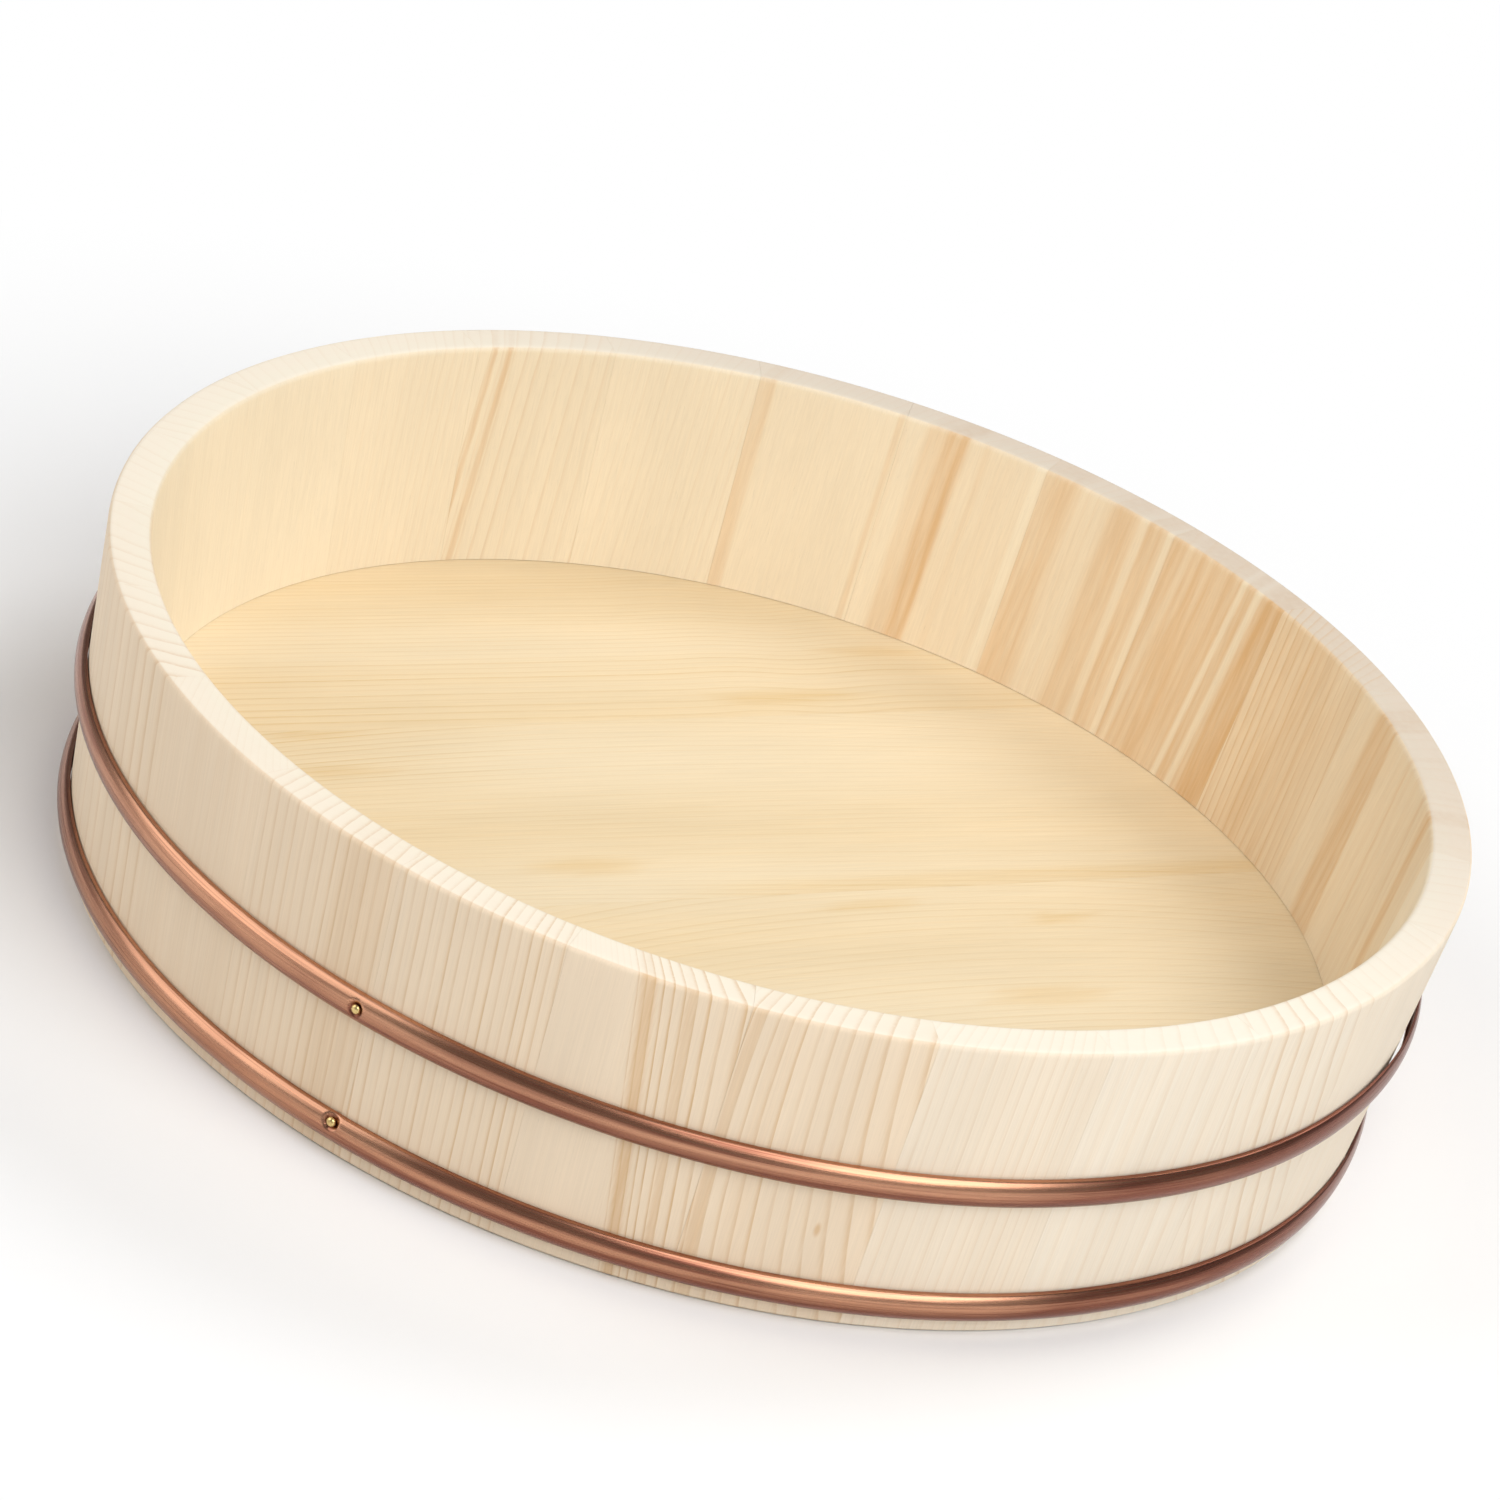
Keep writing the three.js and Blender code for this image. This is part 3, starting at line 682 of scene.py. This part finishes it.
class TubMakeBottom(bpy.types.Operator):
    """Make the bottom boards and give the bamboo pins in their joints a finish"""

    bl_idname = "tub.make_bottom"
    bl_label = "Make bottom"

    def execute(self, context):
        sizes = context.scene.tub_sizes
        colours = context.scene.tub_colours
        wood = softwood("bare spruce bottom", colours.floor_pale, colours.floor_ring, colours.floor_warm)
        radius = groove_radius(sizes) - sizes.groove_fit
        joints = [sizes.middle_joint + step * sizes.board_width for step in (-1, 0, 1)]
        edges = [-2 * radius, *joints, 2 * radius]
        for number in range(1, BOARD_COUNT + 1):
            low = edges[number - 1] + sizes.board_gap / 2
            high = edges[number] - sizes.board_gap / 2
            made = self.board(f"spruce_board_{number}", sizes, radius, low, high, wood)
            self.pocket(made)
            self.grain(made, sizes, number)
            settle(made, f"bottom_board_{number}")
        bamboo = split_bamboo(colours)
        for number in range(1, PIN_COUNT + 1):
            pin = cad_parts[f"bottom_pin_{number}"]
            pin.material_slots[0].material = bamboo
        return {"FINISHED"}

    def board(self, name, sizes, radius, low, high, wood):
        mesh = bmesh.new()
        bmesh.ops.create_circle(mesh, cap_ends=True, segments=200, radius=radius)
        raised = bmesh.ops.extrude_face_region(mesh, geom=mesh.faces[:])
        top = [item for item in raised["geom"] if isinstance(item, bmesh.types.BMVert)]
        bmesh.ops.translate(mesh, vec=(0, 0, sizes.board_thickness), verts=top)
        for place, side in ((low, -1), (high, 1)):
            if abs(place) < radius:
                whole = [*mesh.verts, *mesh.edges, *mesh.faces]
                bmesh.ops.bisect_plane(mesh, geom=whole, plane_co=(0, place, 0), plane_no=(0, side, 0),
                                       clear_outer=True)
                bmesh.ops.holes_fill(mesh, edges=[edge for edge in mesh.edges if edge.is_boundary])
        self.divide(mesh, radius, low, high)
        lift = Matrix.Translation((0, 0, sizes.floor_height - sizes.board_thickness))
        turn = Matrix.Rotation(sizes.board_direction, 4, "Z")
        bmesh.ops.transform(mesh, matrix=lift @ turn, verts=mesh.verts)
        return piece(name, mesh, wood)

    # Cuts a board's faces across and along, so that its grain can bend
    def divide(self, mesh, radius, low, high):
        across = ((1, 0, 0), CUTS_ACROSS, -radius, radius)
        along = ((0, 1, 0), CUTS_ALONG, low, high)
        for normal, spacing, first, last in (across, along):
            place = max(first, -radius) + FIRST_CUT * spacing
            while place < min(last, radius):
                centre = [part * place for part in normal]
                whole = [*mesh.verts, *mesh.edges, *mesh.faces]
                bmesh.ops.bisect_plane(mesh, geom=whole, plane_co=centre, plane_no=normal, dist=1e-7)
                place += spacing

    # Takes the pins' room out of a board that they reach into
    def pocket(self, made):
        cutters = []
        for number in range(1, PIN_COUNT + 1):
            low, high = (Vector(corner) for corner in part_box(f"bottom_pin_{number}"))
            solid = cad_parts[f"bottom_pin_{number}"]
            mesh = bmesh.new()
            mesh.from_mesh(solid.data)
            bmesh.ops.remove_doubles(mesh, verts=mesh.verts, dist=1e-6)
            middle = (low + high) / 2
            swell = Matrix.Translation(middle) @ Matrix.Scale(PIN_ROOM, 4) @ Matrix.Translation(-middle)
            bmesh.ops.transform(mesh, matrix=swell @ solid.matrix_world, verts=mesh.verts)
            cutters.append(piece("pin_room", mesh, None))
        cut_out(made, cutters)

    def grain(self, made, sizes, number):
        turn = Matrix.Rotation(-sizes.board_direction, 3, "Z")
        grain = []
        places = []
        for vert in made.data.vertices:
            spot = turn @ vert.co
            along = spot.x / MILLIMETRE
            across = spot.y / MILLIMETRE
            deep = (sizes.floor_height - spot.z) / MILLIMETRE
            rings, contrast, warmth = self.figure(number, along, across)
            grain.append((rings + 0.25 * deep + 100 * number, contrast, warmth))
            places.append((across + 150 * number, deep, along + 70 * number))
        set_vectors(made.data, "grain", grain)
        set_vectors(made.data, "place", places)

    # Rings, contrast and warmth of a board at a place along and across it, in millimetres
    def figure(self, number, along, across):
        warmth = 0.13 + 0.11 * math.sin(across / 11 + 2 * number) + 0.05 * math.sin(along / 60 + across / 9)
        if number == 4:
            wave = 1.3 * math.sin(along / 9) * math.exp(-((along - 65) / 28) ** 2)
            rings = (max(across + wave + 0.012 * along - 40, 0) / 10) ** 1.6
            strip = soft_step(84, 89, across) * soft_step(101, 96, across)
            contrast = 0.5 + 0.25 * soft_step(0, -90, along) * soft_step(100, 85, across) + 0.25 * strip
            warmth += 0.1 * strip
        elif number == 3:
            share = (across + 12) / 80
            arch = 7 * (1 - ((along + 15) / 100) ** 2)
            moved = across - arch * share ** 2 + 0.075 * (along + 20) * (1 - share) ** 2
            rings = moved / 1.9
            strip = soft_step(-3, -9, across) * soft_step(-40, 20, along)
            ends = soft_step(-20, -80, along) * soft_step(30, 50, across)
            contrast = 0.36 + 0.4 * strip + 0.55 * ends
            warmth += 0.4 * strip + 0.15 * ends
        else:
            rings = (across + 7 * ((along - 35) / 80) ** 2) / 2.7
            contrast = 0.42
        for middle, height, half_length, half_width in FLOOR_PATCHES:
            ragged = 1.5 * math.sin(along / 3.1 + across) + 3.0 * math.sin(across * 1.7 + middle)
            far = math.hypot((along - middle + ragged) / half_length, (across - height) / half_width)
            warmth += 0.35 * soft_step(1.3, 0.6, far)
        return rings, contrast, warmth


# One side of a hoop's section as (along the wall, out from the wall): short upright edges and a bowed face
def hoop_side(half_width, rise):
    bow = half_width / math.sin(HOOP_BOW)
    edge = rise - bow * (1 - math.cos(HOOP_BOW))
    low = edge - HOOP_ROUNDING

    def on_bow(turn):
        return Vector((bow * math.sin(turn), rise - bow * (1 - math.cos(turn))))

    shoulder = HOOP_ROUND_SHARE * HOOP_BOW
    points = [Vector((-half_width, HOOP_FOOT)), Vector((-half_width, low))]
    points += rounded(points[-1], Vector((-half_width, edge)), on_bow(-shoulder), 4)
    points += [on_bow(shoulder * (step / 9 - 1)) for step in range(1, 19)]
    points += rounded(points[-1], Vector((half_width, edge)), Vector((half_width, low)), 4)
    points.append(Vector((half_width, HOOP_FOOT)))
    return points


# Outline of a hoop's hollow half-round on the leaning wall, as (radius, height)
def hoop_outline(sizes, hoops, height):
    lean = wall_lean(sizes)
    face = hoop_side(hoops.width / 2, hoops.rise)
    hollow = hoop_side(hoops.width / 2 - hoops.metal, hoops.rise - hoops.metal)
    points = []
    for spot in face + hollow[::-1]:
        along = spot.x
        out = spot.y + hoops.fit
        radius = outer_radius(sizes, height) + along * math.sin(lean) + out * math.cos(lean)
        points.append(Vector((radius, height + along * math.cos(lean) - out * math.sin(lean))))
    return points


class TubMakeHoops(bpy.types.Operator):
    """Make the two copper hoops, each pulled in where its nail stands"""

    bl_idname = "tub.make_hoops"
    bl_label = "Make hoops"

    def execute(self, context):
        sizes = context.scene.tub_sizes
        hoops = context.scene.tub_hoops
        nails = []
        for height in nail_heights(hoops).values():
            nails.append(nail_frame(sizes, hoops, height) @ Vector((0, 0, nail_seat(hoops))))
        copper = drawn_copper(context.scene.tub_colours, nails)
        self.hoop("upper", sizes, hoops, hoops.upper_height, hoops.slack, 0, copper)
        self.hoop("lower", sizes, hoops, hoops.lower_height, 0, hoops.crease_depth, copper)
        return {"FINISHED"}

    def hoop(self, which, sizes, hoops, height, slack, crease, copper):
        mesh = bmesh.new()
        near = 2 * NAIL_STRETCH
        verts, edges = loop_at(mesh, hoop_outline(sizes, hoops, height), hoops.nail_angle - NAIL_STRETCH)
        close = bmesh.ops.spin(mesh, geom=[*verts, *edges], cent=(0, 0, 0), axis=(0, 0, 1), dvec=(0, 0, 0),
                               angle=near, steps=NEAR_STEPS)
        bmesh.ops.spin(mesh, geom=close["geom_last"], cent=(0, 0, 0), axis=(0, 0, 1), dvec=(0, 0, 0),
                       angle=2 * math.pi - near, steps=FAR_STEPS)
        bmesh.ops.remove_doubles(mesh, verts=mesh.verts, dist=1e-6)
        for vert in mesh.verts:
            self.press(vert, sizes, hoops, nail_heights(hoops)[which], slack, crease)
        made = piece(f"copper_hoop_{which}", mesh, copper)
        self.run(made, sizes, height)
        settle(made, f"hoop_{which}")

    # Pushes a point in at the nail's dent and the crease beside it, and out where the hoop stands slack,
    # and flattens the hoop there
    def press(self, vert, sizes, hoops, height, slack, crease):
        turn = math.atan2(vert.co.y, vert.co.x) % (2 * math.pi)
        outward = Vector((math.cos(turn), math.sin(turn), 0))
        local = nail_frame(sizes, hoops, height).inverted() @ vert.co
        across = (turn - hoops.nail_angle) * outer_radius(sizes, height)
        up = vert.co.z - height
        share = min(max(local.z / (hoops.fit + hoops.rise), 0), 1)
        if abs(across) < 3 * hoops.width:
            from_nail = math.hypot(across, up)
            dent = hoops.dent_depth * soft_step(hoops.dent_reach, 0.9 * hoops.nail_head, from_nail)
            beside = across * math.cos(CREASE_TURN) + up * math.sin(CREASE_TURN)
            aside = up * math.cos(CREASE_TURN) - across * math.sin(CREASE_TURN)
            fold = math.exp(-(aside / CREASE_WIDTH) ** 2) * soft_step(hoops.width, hoops.nail_head, beside)
            if beside > 0:
                dent += crease * fold
            vert.co -= outward * dent * share
        far = abs((math.degrees(turn) - SLACK_PLACE + 180) % 360 - 180) / SLACK_REACH
        out = math.hypot(vert.co.x, vert.co.y) - outer_radius(sizes, vert.co.z)
        flat = hoops.flattening * min(max(out / (hoops.fit + hoops.rise), 0), 1)
        vert.co += outward * (slack * math.exp(-far ** 2) - flat * math.exp(-(far / 1.7) ** 2))

    # Keeps each corner's place along and across the hoop, for the drawn streaks and the painted shade
    def run(self, made, sizes, height):
        data = made.data
        layer = data.attributes.new("run", "FLOAT_VECTOR", "CORNER")
        values = []
        for face in data.polygons:
            turns = []
            for index in face.vertices:
                spot = data.vertices[index].co
                turns.append(math.degrees(math.atan2(spot.y, spot.x)) % 360)
            for turn, index in zip(turns, face.vertices):
                spot = data.vertices[index].co
                if turn < 90 and max(turns) > 270:
                    turn += 360
                out = math.hypot(spot.x, spot.y) - outer_radius(sizes, spot.z)
                up = (spot.z - height) / MILLIMETRE
                values += [turn * RUN_PER_DEGREE, up, out / MILLIMETRE + RUN_SHIFT * height]
        layer.data.foreach_set("vector", values)


class TubMakeNails(bpy.types.Operator):
    """Make the brass nails that hold the hoops"""

    bl_idname = "tub.make_nails"
    bl_label = "Make nails"

    def execute(self, context):
        sizes = context.scene.tub_sizes
        hoops = context.scene.tub_hoops
        brass = bright_brass(context.scene.tub_colours)
        seat = nail_seat(hoops)
        for which, height in nail_heights(hoops).items():
            mesh = bmesh.new()
            points = [(0, -hoops.nail_bite), (hoops.nail_shank, hoops.nail_point - hoops.nail_bite),
                      (hoops.nail_shank, seat), (hoops.nail_head * 0.92, seat)]
            for step in range(9):
                turn = math.pi / 2 * step / 8
                domed = seat + HEAD_EDGE + hoops.nail_rise * math.sin(turn)
                points.append((hoops.nail_head * math.cos(turn), domed))
            verts = [mesh.verts.new((across, 0, up)) for across, up in points]
            edges = [mesh.edges.new(pair) for pair in zip(verts, verts[1:])]
            bmesh.ops.spin(mesh, geom=[*verts, *edges], cent=(0, 0, 0), axis=(0, 0, 1), dvec=(0, 0, 0),
                           angle=2 * math.pi, steps=32, use_merge=True)
            bmesh.ops.remove_doubles(mesh, verts=mesh.verts, dist=1e-7)
            bmesh.ops.transform(mesh, matrix=nail_frame(sizes, hoops, height), verts=mesh.verts)
            made = piece(f"brass_nail_{which}", mesh, brass)
            settle(made, f"hoop_nail_{which}")
        return {"FINISHED"}


class TubMakeStage(bpy.types.Operator):
    """Make the floor, the lights, the world and the camera"""

    bl_idname = "tub.make_stage"
    bl_label = "Make stage"

    def execute(self, context):
        colours = context.scene.tub_colours
        mesh = bmesh.new()
        just_under = Matrix.Translation((0, 0, -0.2 * MILLIMETRE))
        bmesh.ops.create_circle(mesh, cap_ends=True, segments=64, radius=6, matrix=just_under)
        ground = piece("ground", mesh, ground_paint(colours))
        self.lamp("key", direction=(0.41, -0.58, 0.70), distance=1.8, size=1.8, power=26)
        self.lamp("back", direction=(0.42, 0.50, 0.75), distance=1.8, size=0.9, power=11)
        self.lamp("left", direction=(-0.82, -0.16, 0.54), distance=1.8, size=2.0, power=15.5)
        self.sky(context.scene)
        self.camera(context.scene)
        context.scene.view_settings.view_transform = "Standard"
        return {"FINISHED"}

    def lamp(self, name, direction, distance, size, power):
        light = bpy.data.lights.new(name, "AREA")
        light.shape = "DISK"
        light.size = size
        light.energy = power
        holder = bpy.data.objects.new(name, light)
        way = Vector(direction).normalized()
        holder.location = way * distance
        holder.rotation_euler = way.to_track_quat("Z", "Y").to_euler()
        bpy.context.scene.collection.objects.link(holder)

    # A world that is bright near the horizon and dimmer overhead
    def sky(self, scene):
        world = bpy.data.worlds.new("studio")
        scene.world = world
        world.use_nodes = True
        nodes = world.node_tree.nodes
        links = world.node_tree.links
        place = nodes.new("ShaderNodeTexCoord")
        split = nodes.new("ShaderNodeSeparateXYZ")
        links.new(place.outputs["Generated"], split.inputs["Vector"])
        level = nodes.new("ShaderNodeMapRange")
        level.inputs["From Min"].default_value = 0.2
        level.inputs["From Max"].default_value = 0.6
        level.inputs["To Min"].default_value = 0.30
        level.inputs["To Max"].default_value = 0.18
        links.new(split.outputs["Z"], level.inputs["Value"])
        links.new(level.outputs["Result"], nodes["Background"].inputs["Strength"])
        nodes["Background"].inputs["Color"].default_value = (1, 1, 1, 1)

    def camera(self, scene):
        lens = bpy.data.cameras.new("camera")
        lens.sensor_width = 36
        lens.sensor_height = 36
        lens.lens = 155.74
        lens.clip_end = 50
        holder = bpy.data.objects.new("camera", lens)
        stand = Vector((0, -1.3652, 0.75102))
        looking = Vector((-0.003353, 0.890268, -0.455426))
        roll = Matrix.Rotation(math.radians(16.69), 4, "Z")
        aim = looking.to_track_quat("-Z", "Y").to_matrix().to_4x4()
        holder.matrix_world = Matrix.Translation(stand) @ aim @ roll
        scene.collection.objects.link(holder)
        scene.camera = holder


class TubPanel(bpy.types.Panel):
    """Lists the steps that make the tub"""

    bl_idname = "TUB_PT_steps"
    bl_label = "Sushi rice tub"
    bl_space_type = "VIEW_3D"
    bl_region_type = "UI"
    bl_category = "Tub"

    def draw(self, context):
        for step in STEPS:
            self.layout.operator(step.bl_idname)


STEPS = (TubMakeStaves, TubMakeBottom, TubMakeHoops, TubMakeNails, TubMakeStage)
CLASSES = (TubSizes, HoopSizes, TubColours, *STEPS, TubPanel)


def register():
    for made in CLASSES:
        bpy.utils.register_class(made)
    bpy.types.Scene.tub_sizes = bpy.props.PointerProperty(type=TubSizes)
    bpy.types.Scene.tub_hoops = bpy.props.PointerProperty(type=HoopSizes)
    bpy.types.Scene.tub_colours = bpy.props.PointerProperty(type=TubColours)


def unregister():
    del bpy.types.Scene.tub_colours
    del bpy.types.Scene.tub_hoops
    del bpy.types.Scene.tub_sizes
    for made in reversed(CLASSES):
        bpy.utils.unregister_class(made)


def main():
    register()
    bpy.ops.tub.make_staves()
    bpy.ops.tub.make_bottom()
    bpy.ops.tub.make_hoops()
    bpy.ops.tub.make_nails()
    bpy.ops.tub.make_stage()


if __name__ == "__main__":
    main()
